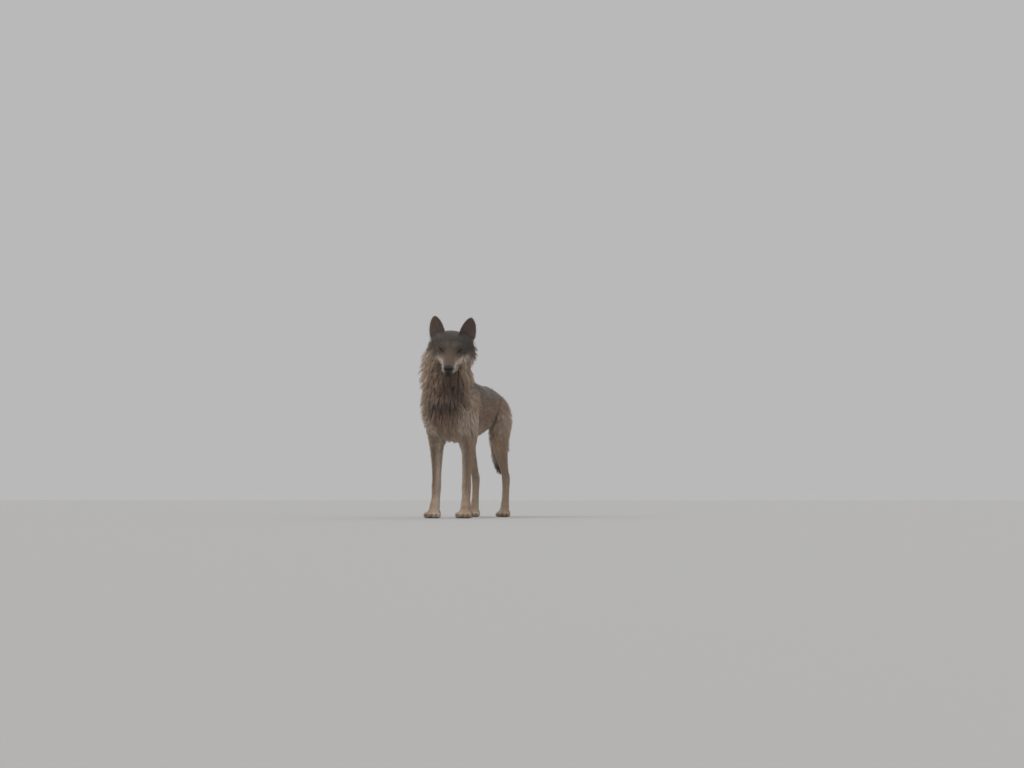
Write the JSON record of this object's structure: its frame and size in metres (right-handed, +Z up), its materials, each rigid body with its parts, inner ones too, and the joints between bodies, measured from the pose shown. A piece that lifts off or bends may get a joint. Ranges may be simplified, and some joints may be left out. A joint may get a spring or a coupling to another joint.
{
  "type": "grey wolf, standing life-size animal model",
  "caption": "Still, life-size grey wolf in winter coat, standing square with its head raised and turned to its left and its tail hanging.",
  "frame": {"origin": "on the floor, under the middle of the whole animal's box", "axes": "+Z up, the tail end towards +Y and the nose towards -Y, the wolf's left side on +X"},
  "size_m": [0.3308, 1.19, 1.0457],
  "materials": {
    "coat_grey": "thick grizzled winter fur, matt",
    "coat_dark": "short dark fur, matt",
    "coat_tan": "short tan and buff fur, matt",
    "coat_pale": "short pale fur, matt",
    "nose": "bare pebbled skin, slightly moist",
    "eye": "wet amber, polished",
    "claw": "dark horn, satin"
  },
  "bodies": {
    "root": {"head": "coat_grey", "neck": "coat_grey", "trunk": "coat_grey", "tail": "coat_grey", "jaw": "coat_pale", "ear_left": "coat_dark", "eye_left": "eye", "shoulder_left": "coat_tan", "foreleg_left": "coat_tan", "forepaw_left": "coat_pale", "thigh_left": "coat_tan", "hindleg_left": "coat_tan", "hindpaw_left": "coat_pale", "ear_right": "coat_dark", "eye_right": "eye", "shoulder_right": "coat_tan", "foreleg_right": "coat_tan", "forepaw_right": "coat_pale", "thigh_right": "coat_tan", "hindleg_right": "coat_tan", "hindpaw_right": "coat_pale", "nose": "nose"}
  },
  "joints": []
}
